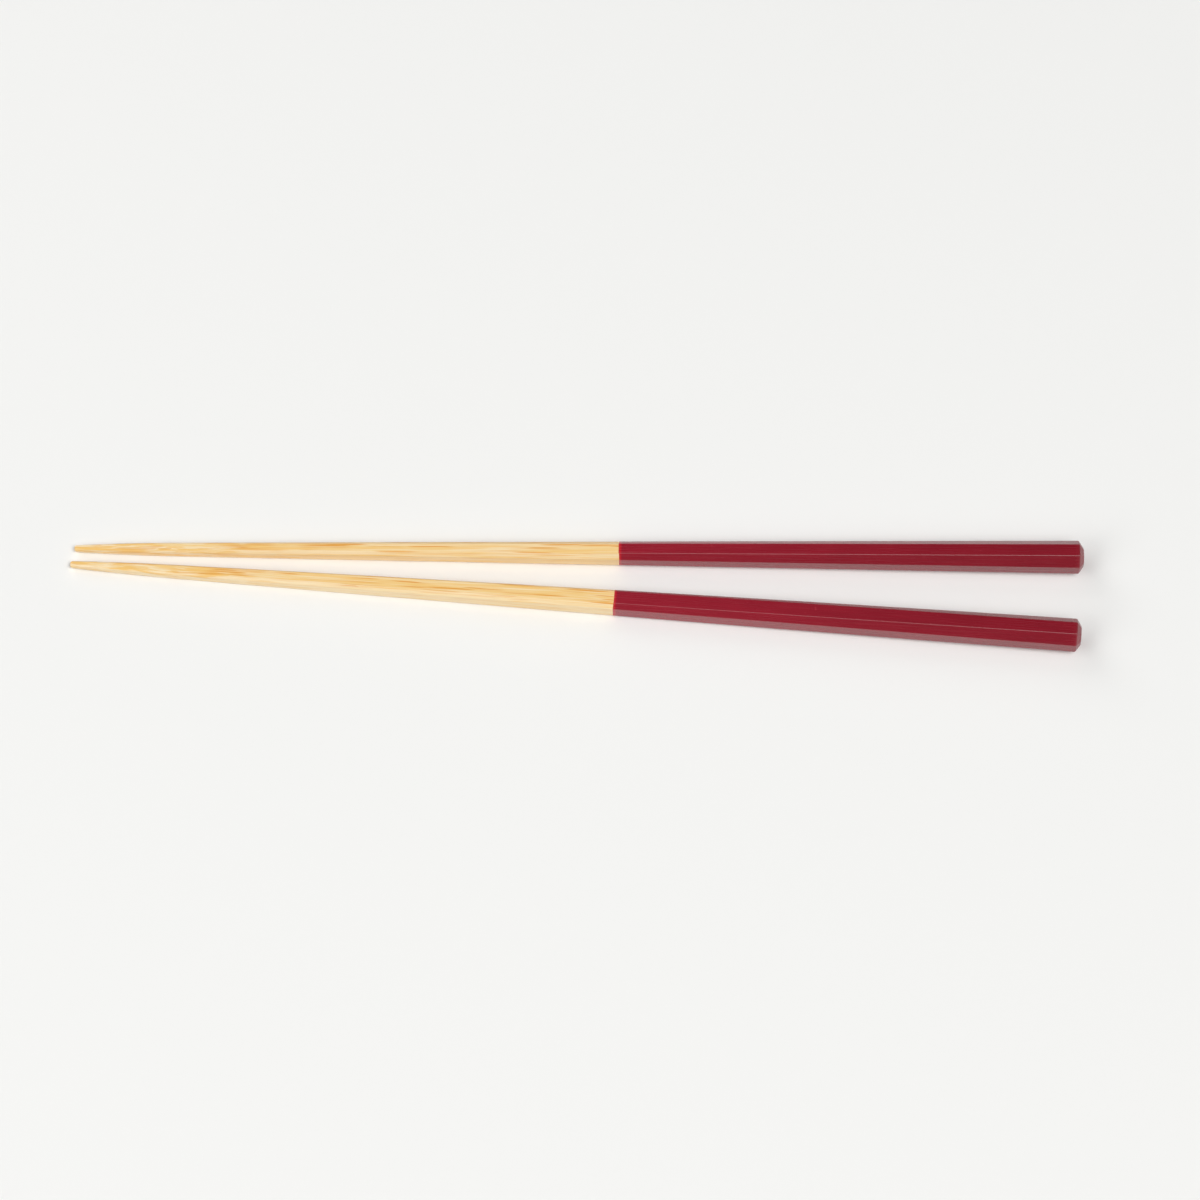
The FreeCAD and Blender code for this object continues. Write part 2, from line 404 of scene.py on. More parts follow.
@dataclass(frozen=True)
class BambooFinish:
    """Bare bamboo under a clear coat: golden wood with pale streaks and dark fibre bundles.

    The bundles are long thin spindles that run along the stick, so each facet cuts them
    into dashes. The side that lay towards the inside of the culm has fewer and is paler;
    its paleness, set towards the near side, also paints in a sheen from the bright table.

    Attributes:
        pale: The palest wood.
        straw: The common wood.
        honey: Wood with many bundles in it.
        bundle: The bundles themselves.
        bold: The wide bundles.
        fine: The narrow bundles.
        wander: How the grain wanders.
        swing: How far it wanders, by the distance from the point.
        taper: A stick's half width, as the gain per length and the width at the point.
        clumps: Where bundles crowd.
        clump_edge: How sharply a clump ends.
        crowding: Share of the bundles between clumps and in them.
        thinning: Share of the bundles towards the pale side.
        point_dashes: Share of the bundles by the distance from the point.
        dense_honey: Honey in the clumps.
        bands: Broad bands along the grain.
        straw_bands: Straw in the bands.
        paling: Where the pale side, partly a painted sheen, begins and is full.
        fibres: Fine lines along the grain.
        honey_fibres: Honey in the strong lines.
        pale_fibres: Pale in the weak lines.
        figure: The wavy figure near the point.
        figured: How clear it is, by the distance from the point.
        honey_figure: Honey in the figure.
        pale_figure: Pale in the figure.
        sunken: How far bundles lie below the other wood, as a share of the relief.
        relief: How strong the relief is.
        roughness: Roughness by the fine lines.
        ior: The coat's index of refraction.
    """

    pale: Colour = tint(252, 230, 190)
    straw: Colour = tint(246, 209, 142)
    honey: Colour = tint(243, 192, 98)
    bundle: Colour = tint(229, 155, 44)
    bold: Bundles = Bundles(spacing=0.46, length=15.0, rarity=0.1, strength=0.92)
    fine: Bundles = Bundles(spacing=0.34, length=22.0, rarity=0.2, strength=0.55)
    wander: Lumps = Lumps(0.05, 0.3)
    swing: Ease = Ease(6.0, 60.0, 2.6, 0.5)
    taper: tuple[float, float] = (0.0105, 1.1)
    clumps: Lumps = Lumps(0.04, 0.55)
    clump_edge: Ease = Ease(0.38, 0.5)
    crowding: Ease = Ease(0.0, 1.0, 0.15, 1.0)
    thinning: Ease = Ease(0.6, 0.9, 1.0, 0.2)
    point_dashes: Ease = Ease(4.0, 40.0, 0.5, 1.0)
    dense_honey: float = 0.22
    bands: Lumps = Lumps(0.02, 1.3)
    straw_bands: Ease = Ease(0.36, 0.5, 0.35, 1.0)
    paling: Ease = Ease(0.6, 0.85)
    fibres: Lumps = Lumps(0.05, 4.2, roughness=0.6)
    honey_fibres: Ease = Ease(0.52, 0.66, 0.0, 0.6)
    pale_fibres: Ease = Ease(0.34, 0.46, 0.65, 0.0)
    figure: Lumps = Lumps(0.16, 1.4, detail=1.0)
    figured: Ease = Ease(22.0, 58.0, 1.0, 0.0)
    honey_figure: Ease = Ease(0.36, 0.46, 0.7, 0.0)
    pale_figure: Ease = Ease(0.52, 0.6, 0.0, 0.8)
    sunken: float = 0.35
    relief: float = 0.35
    roughness: Ease = Ease(0.2, 0.8, 0.36, 0.5)
    ior: float = 1.74

    def grain(self, graph: Graph, along: Socket, shifted: Socket) -> Socket:
        """The place along the grain, which wanders across the stick and most so at the point.

        Args:
            graph: The material's nodes.
            along: The distance from the point.
            shifted: The place on the stick, shifted for this stick.

        Returns:
            The shifted place, moved across the stick.
        """
        drift = graph.vector("SUBTRACT", graph.noise(shifted, self.wander, "Color"), (0.5,) * 3)
        swing = graph.ramp(along, self.swing)
        push = graph.add("CombineXYZ", {"Y": swing, "Z": swing}).outputs[0]
        return graph.vector("ADD", shifted, graph.vector("MULTIPLY", drift, push))

    def paleness(self, graph: Graph, place: Socket, along: Socket, pale_side: float) -> Socket:
        """How far a place lies towards the pale side, as a share of the stick's half width there.

        Args:
            graph: The material's nodes.
            place: The place on the stick.
            along: Its distance from the point.
            pale_side: The pale side's angle from the top towards the near side, in degrees.

        Returns:
            A socket that is about 1 on the pale side and falls as the cosine round the stick.
        """
        tilt = math.radians(pale_side)
        depth = graph.vector("DOT_PRODUCT", place, (0.0, -math.sin(tilt), math.cos(tilt)))
        half_width = graph.maths("MULTIPLY_ADD", along, *self.taper)
        return graph.maths("DIVIDE", depth, half_width)

    def material(self, name: str, lay: Lay, wood: Wood) -> bpy.types.Material:
        """Makes the material for one stick.

        Args:
            name: The material's name.
            lay: How the stick lies, for the direction of the fibres.
            wood: What sets the stick's wood apart.

        Returns:
            The material.
        """
        material, graph = new_material(name)
        place = lay.read(graph)
        along = graph.parts(place)[0]
        shifted = graph.vector("ADD", place, (wood.seed,) * 3)
        grain = self.grain(graph, along, shifted)
        paleness = self.paleness(graph, place, along, wood.pale_side)

        clumps = graph.ramp(graph.noise(shifted, self.clumps), self.clump_edge)
        crowded = graph.ramp(clumps, self.crowding)
        dense = graph.product(crowded, graph.ramp(paleness, self.thinning))
        bundles = graph.maths("MAXIMUM", self.bold.draw(graph, grain), self.fine.draw(graph, grain))
        dashes = graph.product(bundles, dense, graph.ramp(along, self.point_dashes))

        bands = graph.noise(grain, self.bands)
        fibres = graph.noise(grain, self.fibres)
        figure = graph.noise(grain, self.figure)
        figured = graph.ramp(along, self.figured)
        colour = graph.layers(
            graph.blend(graph.ramp(bands, self.straw_bands), self.pale, self.straw),
            (graph.product(dense, self.dense_honey), self.honey),
            # The pale side: paler wood, partly a painted sheen on the near facets.
            (graph.ramp(paleness, replace(self.paling, end=wood.pale_share)), self.pale),
            (graph.ramp(fibres, self.honey_fibres), self.honey),
            (graph.ramp(fibres, self.pale_fibres), self.pale),
            (graph.product(graph.ramp(figure, self.honey_figure), figured), self.honey),
            (graph.product(graph.ramp(figure, self.pale_figure), figured), self.pale),
            (dashes, self.bundle),
        )

        height = graph.maths("SUBTRACT", fibres, graph.product(dashes, self.sunken))
        graph.show("BsdfPrincipled", {
            "Base Color": colour,
            "Roughness": graph.ramp(fibres, self.roughness),
            "IOR": self.ior,
            "Normal": graph.bump(self.relief, height),
        })
        return material


@dataclass(frozen=True)
class Scuff:
    """A short bowed hairline, broken into patches, across the facet that lies uppermost.

    Attributes:
        bow: How far it bends along the stick, per square of the distance across it.
        middle: Where its middle lies across the stick, in millimetres.
        line: Strength by the distance from it along the stick.
        sides: Strength by the distance from its middle.
        top: Strength by the height above the axis.
        patches: Where it is broken.
        broken: Strength by the patches.
    """

    bow: float = 0.12
    middle: float = 0.6
    line: Ease = Ease(0.08, 0.24, 0.4, 0.0)
    sides: Ease = Ease(0.5, 1.0, 1.0, 0.0)
    top: Ease = Ease(1.0, 1.6)
    patches: Lumps = Lumps(2.0, 1.2)
    broken: Ease = Ease(0.45, 0.6)

    def draw(self, graph: Graph, place: Socket, shifted: Socket, distance: float) -> Socket:
        """Draws the scuff.

        Args:
            graph: The material's nodes.
            place: The place on the stick.
            shifted: The same, shifted for this stick.
            distance: Distance of the scuff from the stick's point.

        Returns:
            A socket that is above 0 in the scuff.
        """
        along, across, height = graph.parts(place)
        bowed = graph.maths("ADD", along, graph.product(across, across, self.bow))
        gap = graph.maths("ABSOLUTE", graph.maths("SUBTRACT", bowed, distance))
        aside = graph.maths("ABSOLUTE", graph.maths("SUBTRACT", across, self.middle))
        return graph.product(
            graph.ramp(gap, self.line),
            graph.ramp(graph.noise(shifted, self.patches), self.broken),
            graph.ramp(aside, self.sides),
            graph.ramp(height, self.top),
        )


@dataclass(frozen=True)
class Specks:
    """Scattered round specks of dust.

    Attributes:
        density: Places for a speck per millimetre.
        dot: Strength by the distance from a speck's middle.
        onset: Strength by the place's own number.
    """

    density: float = 0.6
    dot: Ease = Ease(0.04, 0.09, 0.6, 0.0)
    onset: Ease = Ease(0.6, 0.7)

    def draw(self, graph: Graph, shifted: Socket) -> Socket:
        """Draws the specks, as a socket that is above 0 in them."""
        distance, chance = graph.cells(graph.stretch(shifted, self.density, self.density))
        return graph.product(graph.ramp(distance, self.dot), graph.ramp(chance, self.onset))


@dataclass(frozen=True)
class LacquerFinish:
    """Dark red lacquer, lighter towards its edge with a painted sheen that fades towards the butt,
    and with a painted highlight, partly wear, on the ridges.

    Attributes:
        red: The lacquer towards its edge, lighter there with painted sheen.
        deep: The lacquer towards the butt, where the painted sheen has faded, and in clouds.
        thin: The lacquer where it is thin or marked, and the painted highlight on the ridges and
            the butt's rim.
        lip: The lacquer at its edge.
        painted_sheen_fade: Darkening by the distance from its edge, a painted sheen that fades
            towards the butt.
        clouds: Cloudy changes of depth.
        cloud_depth: Depth in the clouds.
        streaks: Fine streaks along the stick.
        thin_streaks: Thinness in the streaks.
        ridge_wear_and_highlight: Thinness on the ridges, by the clouds.
        lip_fade: How clear the lip is, by the distance from the edge.
        scuff: The scuff on the handle.
        specks: The dust on it.
        peel: The low waves in its surface.
        peel_height: Their height, as a share of the relief.
        streak_height: The streaks' height.
        relief: How strong the relief is.
        gloss: Roughness by the streaks.
        ridge_roughness: Roughness added on the ridges.
        ior: The lacquer's index of refraction.
        specular: The level of its reflections.
    """

    red: Colour = tint(153, 27, 45)
    deep: Colour = tint(130, 15, 33)
    thin: Colour = tint(186, 66, 76)
    lip: Colour = tint(200, 36, 46)
    painted_sheen_fade: Ease = Ease(0.0, 100.0, 0.0, 0.7)
    clouds: Lumps = Lumps(0.08, 0.5, detail=3.0)
    cloud_depth: Ease = Ease(0.3, 0.7, 0.0, 0.3)
    streaks: Lumps = Lumps(0.1, 5.0, detail=3.0, roughness=0.6)
    thin_streaks: Ease = Ease(0.5, 0.8, 0.0, 0.04)
    ridge_wear_and_highlight: Ease = Ease(0.35, 0.65, 0.0, 0.2)
    lip_fade: Ease = Ease(0.2, 0.8, 0.8, 0.0)
    scuff: Scuff = Scuff()
    specks: Specks = Specks()
    peel: Lumps = Lumps(0.4, 1.2)
    peel_height: float = 0.6
    streak_height: float = 0.02
    relief: float = 0.25
    gloss: Ease = Ease(0.25, 0.75, 0.24, 0.29)
    ridge_roughness: float = 0.12
    ior: float = 1.8
    specular: float = 0.55

    def material(self, name: str, lay: Lay, seed: float, start: float,
                 scuff: float) -> bpy.types.Material:
        """Makes the material for one handle.

        Args:
            name: The material's name.
            lay: How the stick lies, for the direction of the streaks.
            seed: Shifts the pattern, so that the two handles differ.
            start: Distance of the lacquer's edge from the stick's point.
            scuff: Distance of the scuff from the stick's point.

        Returns:
            The material.
        """
        material, graph = new_material(name)
        place = lay.read(graph)
        along = graph.parts(place)[0]
        shifted = graph.vector("ADD", place, (seed,) * 3)
        clouds = graph.noise(shifted, self.clouds)
        streaks = graph.noise(shifted, self.streaks)
        ridge = graph.add("Attribute", attribute_name="ridge").outputs["Fac"]

        # Painted sheen: lighter near the lacquer's edge and darker towards the butt.
        painted_sheen_fade = graph.ramp(along, self.painted_sheen_fade.moved(start))
        depth = graph.maths("ADD", painted_sheen_fade, graph.ramp(clouds, self.cloud_depth))
        # Painted highlight, with some wear, on the ridges and the butt's rim.
        wear_and_highlight = graph.product(ridge, graph.ramp(clouds, self.ridge_wear_and_highlight))
        scuffed = self.scuff.draw(graph, place, shifted, scuff)
        marks = graph.maths("MAXIMUM", scuffed, self.specks.draw(graph, shifted))
        colour = graph.layers(
            graph.blend(depth, self.red, self.deep),
            (graph.ramp(streaks, self.thin_streaks), self.thin),
            (graph.maths("MAXIMUM", wear_and_highlight, marks), self.thin),
            (graph.ramp(along, self.lip_fade.moved(start)), self.lip),
        )

        waves = graph.product(graph.noise(shifted, self.peel), self.peel_height)
        height = graph.maths("ADD", waves, graph.product(streaks, self.streak_height))
        gloss = graph.ramp(streaks, self.gloss)
        graph.show("BsdfPrincipled", {
            "Base Color": colour,
            "Roughness": graph.maths("MULTIPLY_ADD", ridge, self.ridge_roughness, gloss),
            "IOR": self.ior,
            "Specular IOR Level": self.specular,
            "Normal": graph.bump(self.relief, height),
        })
        return material


@dataclass(frozen=True)
class Facets:
    """Widths across a stick's eight facets along its length, in millimetres.

    Attributes:
        rear_swell: How much wider than straight the corner pair whose upper facet faces
            the far side stands half way from the neck to the rim.
        front_swell: The same for the other corner pair.
        neck: Where the quick taper of the point ends.
        rim: Where the butt's bevel begins.
        flats: Across the flats at the point, the neck and the rim.
        corners: Across the corner facets at the same places.
    """

    rear_swell: float
    front_swell: float
    neck: float = 24.0
    rim: float = 228.9
    flats: tuple[float, float, float] = (1.4, 2.7, 7.0)
    corners: tuple[float, float, float] = (1.58, 3.14, 7.0)

    def half_width(self, s: np.ndarray, widths: tuple[float, float, float],
                   swell: float) -> np.ndarray:
        """Half the width across one pair of facets.

        From the neck to the rim it goes evenly from the neck's width to the butt's, plus a
        low parabola that adds half the swell half way. Before the neck it is the parabola
        that leaves the neck with the same slope and ends at the point's width.

        Args:
            s: Distances from the point.
            widths: Across the pair at the point, the neck and the rim.
            swell: Added to the width half way from the neck to the rim.

        Returns:
            The half widths, of the shape of s.
        """
        point, neck, butt = (width / 2 for width in widths)
        run = self.rim - self.neck
        share = (s - self.neck) / run
        straight = neck + (butt - neck) * share + 2 * swell * share * (1 - share)
        slope = (butt - neck + 2 * swell) / run
        back = self.neck - s
        fall = neck - slope * self.neck - point
        shaved = neck - slope * back - fall * (back / self.neck) ** 2
        return np.where(s < self.neck, shaved, straight)

    def distances(self, s: np.ndarray) -> np.ndarray:
        """How far each facet lies from the axis, for facets that face u, u and w, w and so on.

        Args:
            s: Distances from the point, one per row.

        Returns:
            Distances from the axis, rows by 8 facets.
        """
        flat = self.half_width(s, self.flats, 0.0)
        rear = self.half_width(s, self.corners, self.rear_swell)
        front = self.half_width(s, self.corners, self.front_swell)
        return np.stack([flat, rear, flat, front] * 2, axis=1)


@dataclass(frozen=True)
class Profile:
    """A stick's outline along its length, row by row.

    Attributes:
        s: Distance of each row from the point.
        inset: How far the row's facets lie inside the stick's own.
        shrink: The row's size as a share of that, below 1 only on the end faces.
    """

    s: np.ndarray
    inset: np.ndarray
    shrink: np.ndarray


def join_rows(*parts: Profile) -> Profile:
    """Puts profiles one after the other, in their order along the stick."""
    names = ("s", "inset", "shrink")
    return Profile(*(np.concatenate([getattr(part, name) for part in parts]) for name in names))


def level_rows(s: np.ndarray, inset: float) -> Profile:
    """Rows along the planed run of a stick, all with one inset."""
    return Profile(s, np.full(len(s), inset), np.ones(len(s)))


def end_face_rows(s: float, inset: float, outward: bool) -> Profile:
    """The rows of a flat end face, whose size changes evenly between its middle and its rim.

    Args:
        s: Where the face lies.
        inset: The inset of its rim.
        outward: True at the butt, where the rows run from the rim to the middle.

    Returns:
        The rows.
    """
    shrink = np.linspace(1, 0, END_FACE_ROWS + 2)[1:-1]
    return Profile(
        np.full(END_FACE_ROWS, s),
        np.full(END_FACE_ROWS, inset),
        shrink if outward else shrink[::-1],
    )


def quarter_rows(start: float, length: float, inset: float, depth: float, count: int) -> Profile:
    """Rows over a quarter of an ellipse, which starts steep and ends level.

    At even angles from 0 to a right angle, s is the start plus the length times one less
    the cosine, and the inset is the last one plus the depth times one less the sine.

    Args:
        start: Where the first row lies.
        length: How far the last row lies beyond it.
        inset: The inset of the last row.
        depth: How much more that of the first row is.
        count: How many rows.

    Returns:
        The rows.
    """
    angle = np.linspace(0, RIGHT_ANGLE, count)
    s = start + length * (1 - np.cos(angle))
    return Profile(s, inset + depth * (1 - np.sin(angle)), np.ones(count))


def bend_rows(corner: tuple[float, float], before: float, after: float, radius: float) -> Profile:
    """Rows round a corner of the outline: a circle that meets the runs on both sides of it.

    Args:
        corner: Where the two runs would meet, as (s, inset).
        before: Direction of the run before it, in radians from s towards the inset.
        after: Direction of the run after it.
        radius: The circle's radius.

    Returns:
        The rows.
    """
    setback = radius * math.tan((after - before) / 2)
    start = np.array(corner) - setback * np.array([math.cos(before), math.sin(before)])
    centre = start + radius * np.array([-math.sin(before), math.cos(before)])
    angle = np.linspace(before, after, BEND_ROWS)
    s = centre[0] + radius * np.sin(angle)
    return Profile(s, centre[1] - radius * np.cos(angle), np.ones(BEND_ROWS))


@dataclass(frozen=True)
class Skin:
    """A surface on a grid: rows run along the stick and columns round it.

    Attributes:
        points: Place of each grid point as (s, u, w), rows by columns by 3.
        normals: Outward direction at each grid point, of the same shape.
        ridge: 1 on the ridges and the butt's rim, 0 on the facets, rows by columns.
        ends: The two closing points, before the first row and after the last.
    """

    points: np.ndarray
    normals: np.ndarray
    ridge: np.ndarray
    ends: np.ndarray


def skin_of(profile: Profile, distances: np.ndarray, radius: float) -> Skin:
    """Carries a rounded octagon along a profile.

    Each row's octagon has its facets at the given distances, less the inset, times the
    shrink. Where two facets meet, a circle of the ridge's radius touches both: its centre
    is where the two facets, moved in by the radius, cross. Columns run over each facet in
    even steps and round each ridge in even angles. The outward direction is square to the
    direction round the stick, which the facet's or ridge's angle gives, and to the
    direction along it, which is the difference between rows.

    Args:
        profile: The rows.
        distances: Distance of each facet from the axis, rows by 8.
        radius: The ridges' radius.

    Returns:
        The surface, with its ends closed at the axis.
    """
    rows = len(profile.s)
    reach = (distances - profile.inset[:, None]) * profile.shrink[:, None]
    most = MOST_ROUNDING * reach.min(axis=1)
    ridge_radius = np.minimum(radius * profile.shrink, most)[:, None]
    facing = np.arange(FACETS) * FACET_TURN
    following = facing + FACET_TURN
    inner = reach - ridge_radius
    beyond = np.roll(inner, -1, axis=1)
    centre_u = (inner * np.sin(following) - beyond * np.sin(facing)) / math.sin(FACET_TURN)
    centre_w = (beyond * np.cos(facing) - inner * np.cos(following)) / math.sin(FACET_TURN)
    centres = np.stack([centre_u, centre_w], axis=2)
    outward = np.stack([np.cos(facing), np.sin(facing)], axis=1)
    facet_end = centres + ridge_radius[:, :, None] * outward
    facet_start = np.roll(centres, 1, axis=1) + ridge_radius[:, :, None] * outward

    share = (np.arange(FACET_COLUMNS) / FACET_COLUMNS)[None, None, :, None]
    flat = facet_start[:, :, None] * (1 - share) + facet_end[:, :, None] * share
    angle = facing[:, None] + FACET_TURN * np.arange(RIDGE_COLUMNS) / RIDGE_COLUMNS
    circle = np.stack([np.cos(angle), np.sin(angle)], axis=2)
    arc = centres[:, :, None] + ridge_radius[:, :, None, None] * circle[None]
    across = np.concatenate([flat, arc], axis=2).reshape(rows, -1, 2)
    facet_angle = np.repeat(facing[:, None], FACET_COLUMNS, 1)
    column_angle = np.concatenate([facet_angle, angle], axis=1).reshape(-1)
    crest = np.sin(np.pi * np.arange(RIDGE_COLUMNS) / RIDGE_COLUMNS)
    ridge = np.tile(np.concatenate([np.zeros(FACET_COLUMNS), crest]), FACETS)

    lengthwise = np.repeat(profile.s[:, None, None], across.shape[1], 1)
    points = np.concatenate([lengthwise, across], axis=2)
    level = np.zeros_like(column_angle)
    around = np.stack([level, -np.sin(column_angle), np.cos(column_angle)], axis=1)
    normals = np.cross(around[None], np.gradient(points, axis=0))
    normals /= np.linalg.norm(normals, axis=2, keepdims=True)
    ends = np.array([[profile.s[0], 0, 0], [profile.s[-1], 0, 0]])
    return Skin(points, normals, np.repeat(ridge[None], rows, 0), ends)


def grid_faces(rows: int, columns: int) -> list[tuple[int, ...]]:
    """Faces of a closed tube of rows by columns points and its two end points.

    Each quad joins a point to the next round the stick and to the same two in the next
    row. A fan of triangles joins the first row to the point after the grid, and the last
    row to the point after that.

    Args:
        rows: Rows along the stick.
        columns: Columns round it.

    Returns:
        The faces.
    """
    number = np.arange(rows * columns).reshape(rows, columns)
    beside = np.roll(number, -1, axis=1)
    quads = np.stack([number[:-1], beside[:-1], beside[1:], number[1:]], axis=2).reshape(-1, 4)
    first_end = np.full(columns, rows * columns)
    start = np.stack([first_end, beside[0], number[0]], axis=1)
    finish = np.stack([first_end + 1, number[-1], beside[-1]], axis=1)
    return [tuple(face) for part in (quads, start, finish) for face in part.tolist()]


def mesh_piece(name: str, skin: Skin, lay: Lay) -> bpy.types.Object:
    """Puts a surface into the row frame as a mesh object at the origin.

    Args:
        name: The piece's name.
        skin: The surface in the stick's own frame.
        lay: How the stick lies.

    Returns:
        The object.
    """
    rows, columns, _ = skin.points.shape
    matrix = np.array(lay.matrix())
    local = np.concatenate([skin.points.reshape(-1, 3), skin.ends])
    world = local @ matrix[:3, :3].T + matrix[:3, 3]
    axis = np.array([[-1.0, 0.0, 0.0], [1.0, 0.0, 0.0]])
    facing = np.concatenate([skin.normals.reshape(-1, 3), axis]) @ (matrix[:3, :3].T / MM)

    mesh = bpy.data.meshes.new(name)
    mesh.from_pydata(world.tolist(), [], grid_faces(rows, columns))
    mesh.shade_smooth()
    mesh.normals_split_custom_set_from_vertices(facing.tolist())
    ridge = np.concatenate([skin.ridge.reshape(-1), np.zeros(len(skin.ends))])
    attribute = mesh.attributes.new("ridge", "FLOAT", "POINT")
    attribute.data.foreach_set("value", ridge.astype(np.float32))
    return new_object(name, mesh)


@dataclass(frozen=True)
class Rows:
    """How many rows each stretch of a stick has.

    Attributes:
        dome: Over the rounded point.
        point: From there to the neck.
        shaft: From the neck to the end of the bare shaft.
        lip: Over the lacquer's edge.
        handle: From there to the butt's rim.
    """

    dome: int = 10
    point: int = 40
    shaft: int = 90
    lip: int = 7
    handle: int = 96


@dataclass
class Chopstick:
    """One stick: its bare shaft and its lacquered handle, in millimetres.

    Attributes:
        lay: How it lies.
        facets: The widths across its facets.
        wood: What sets its wood apart.
        scuff: Distance of a scuff in the lacquer from the point.
        length: From the point to the butt.
        paint_line: From the point to the start of the lacquer.
        coat: How far the bare shaft lies inside the lacquer.
        tip_round: Radius of the rounded point.
        ridge_radius: Radius of the softened ridges.
        bevel_length: Along the stick, of the butt's bevel.
        bevel_depth: Across the stick, of the butt's bevel.
        rim_radius: Radius between the facets and the bevel.
        end_radius: Radius between the bevel and the end face.
        stub: How far the bare shaft runs on under the lacquer.
        lip_tuck: How far the lacquer's edge dips into the bare shaft.
        lip_length: Along the stick, of the rounded edge.
        waves: Heights of the two waves in the edge, once and three times round the stick.
        wave_reach: How far from the edge the waves die out.
        rim_reach: Where the painted highlight and wear beside the butt's rim have fallen to about a
            third.
        rows: How many rows each stretch has.
    """

    lay: Lay
    facets: Facets
    wood: Wood
    scuff: float
    length: float = 230.0
    paint_line: float = 124.37
    coat: float = 0.035
    tip_round: float = 0.45
    ridge_radius: float = 0.25
    bevel_length: float = 1.1
    bevel_depth: float = 1.5
    rim_radius: float = 0.45
    end_radius: float = 0.35
    stub: float = 1.2
    lip_tuck: float = 0.02
    lip_length: float = 0.1
    waves: tuple[float, float] = (0.09, 0.06)
    wave_reach: float = 8.0
    rim_reach: float = 0.16
    rows: Rows = Rows()

    def shaft(self) -> bpy.types.Object:
        """Builds the bare shaft: a domed point, the planed run and a stub under the lacquer."""
        neck, stub_end = self.facets.neck, self.paint_line + self.stub
        point = np.linspace(self.tip_round, neck, self.rows.point)[1:]
        run = np.linspace(neck, stub_end, self.rows.shaft)[1:]
        profile = join_rows(
            end_face_rows(0.0, self.coat + self.tip_round, outward=False),
            quarter_rows(0.0, self.tip_round, self.coat, self.tip_round, self.rows.dome),
            level_rows(np.concatenate([point, run]), self.coat),
            end_face_rows(stub_end, self.coat, outward=True),
        )
        skin = skin_of(profile, self.facets.distances(profile.s), self.ridge_radius)
        return mesh_piece(f"{self.lay.side.word}_bare_shaft", skin, self.lay)

    def handle(self) -> bpy.types.Object:
        """Builds the lacquered handle: a rounded lip, the planed run and the bevelled butt."""
        lip_depth = self.coat + self.lip_tuck
        lip = quarter_rows(self.paint_line, self.lip_length, 0.0, lip_depth, self.rows.lip)
        slant = math.atan2(self.bevel_depth, self.bevel_length)
        rim_corner = (self.length - self.bevel_length, 0.0)
        end_corner = (self.length, self.bevel_depth)
        rim_bend = bend_rows(rim_corner, 0.0, slant, self.rim_radius)
        end_bend = bend_rows(end_corner, slant, RIGHT_ANGLE, self.end_radius)
        run = np.linspace(lip.s[-1], rim_bend.s[0], self.rows.handle)[1:-1]
        profile = join_rows(
            end_face_rows(self.paint_line, lip_depth, outward=False),
            lip,
            level_rows(run, 0.0),
            rim_bend,
            end_bend,
            end_face_rows(self.length, end_bend.inset[-1], outward=True),
        )
        skin = skin_of(profile, self.facets.distances(profile.s), self.ridge_radius)
        # The butt's rim takes the ridges' painted highlight and wear.
        wear_and_highlight = self.mark_rim_wear_and_highlight(skin, rim_bend.s.mean())
        return mesh_piece(f"{self.lay.side.word}_lacquered_handle", self.wave_edge(wear_and_highlight), self.lay)

    def mark_rim_wear_and_highlight(self, skin: Skin, rim: float) -> Skin:
        """The handle with the butt's rim marked as a ridge, by a bell curve of the distance, so
        that the lacquer paints a highlight, with some wear, there.
        """
        crest = np.exp(-(((skin.points[:, :, 0] - rim) / self.rim_reach) ** 2))
        return replace(skin, ridge=np.maximum(skin.ridge, crest))

    def wave_edge(self, skin: Skin) -> Skin:
        """Moves the lacquer's edge a little to and fro round the stick.

        The shift is the sum of two sines of the column's place round the stick. It falls
        off as the square of the distance that is left to the waves' reach, and evenly from
        the surface to the axis.

        Args:
            skin: The handle's surface.

        Returns:
            The surface with an uneven edge.
        """
        columns = skin.points.shape[1]
        turn = math.tau * np.arange(columns) / columns + self.wood.seed
        once, thrice = self.waves
        shift = once * np.sin(turn) + thrice * np.sin(3 * turn + self.wood.seed)
        beyond = (skin.points[:, :, 0] - self.paint_line) / self.wave_reach
        radius = np.linalg.norm(skin.points[:, :, 1:], axis=2)
        share = radius / radius.max(axis=1, keepdims=True)
        moved = skin.points.copy()
        moved[:, :, 0] += shift * np.clip(1 - beyond, 0, 1) ** 2 * share
        return replace(skin, points=moved)

    def build(self) -> tuple[bpy.types.Object, bpy.types.Object]:
        """Makes the bare shaft and the lacquered handle."""
        return self.shaft(), self.handle()

    def dress(self, pieces: tuple[bpy.types.Object, bpy.types.Object], bamboo: BambooFinish,
              lacquer: LacquerFinish) -> None:
        """Gives both pieces their materials, and gives the pieces to the frame.

        Args:
            pieces: The bare shaft and the lacquered handle.
            bamboo: The shaft's finish.
            lacquer: The handle's finish.
        """
        word, seed = self.lay.side.word, self.wood.seed
        coat_name = f"{word}_red_lacquer"
        materials = (
            bamboo.material(f"{word}_bamboo", self.lay, self.wood),
            lacquer.material(coat_name, self.lay, seed, self.paint_line, self.scuff),
        )
        for piece, material, slot in zip(pieces, materials, ("bamboo", "red_lacquer")):
            piece.data.materials.append(material)
            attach(piece, "root")
            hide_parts(f"{word}_chopstick")


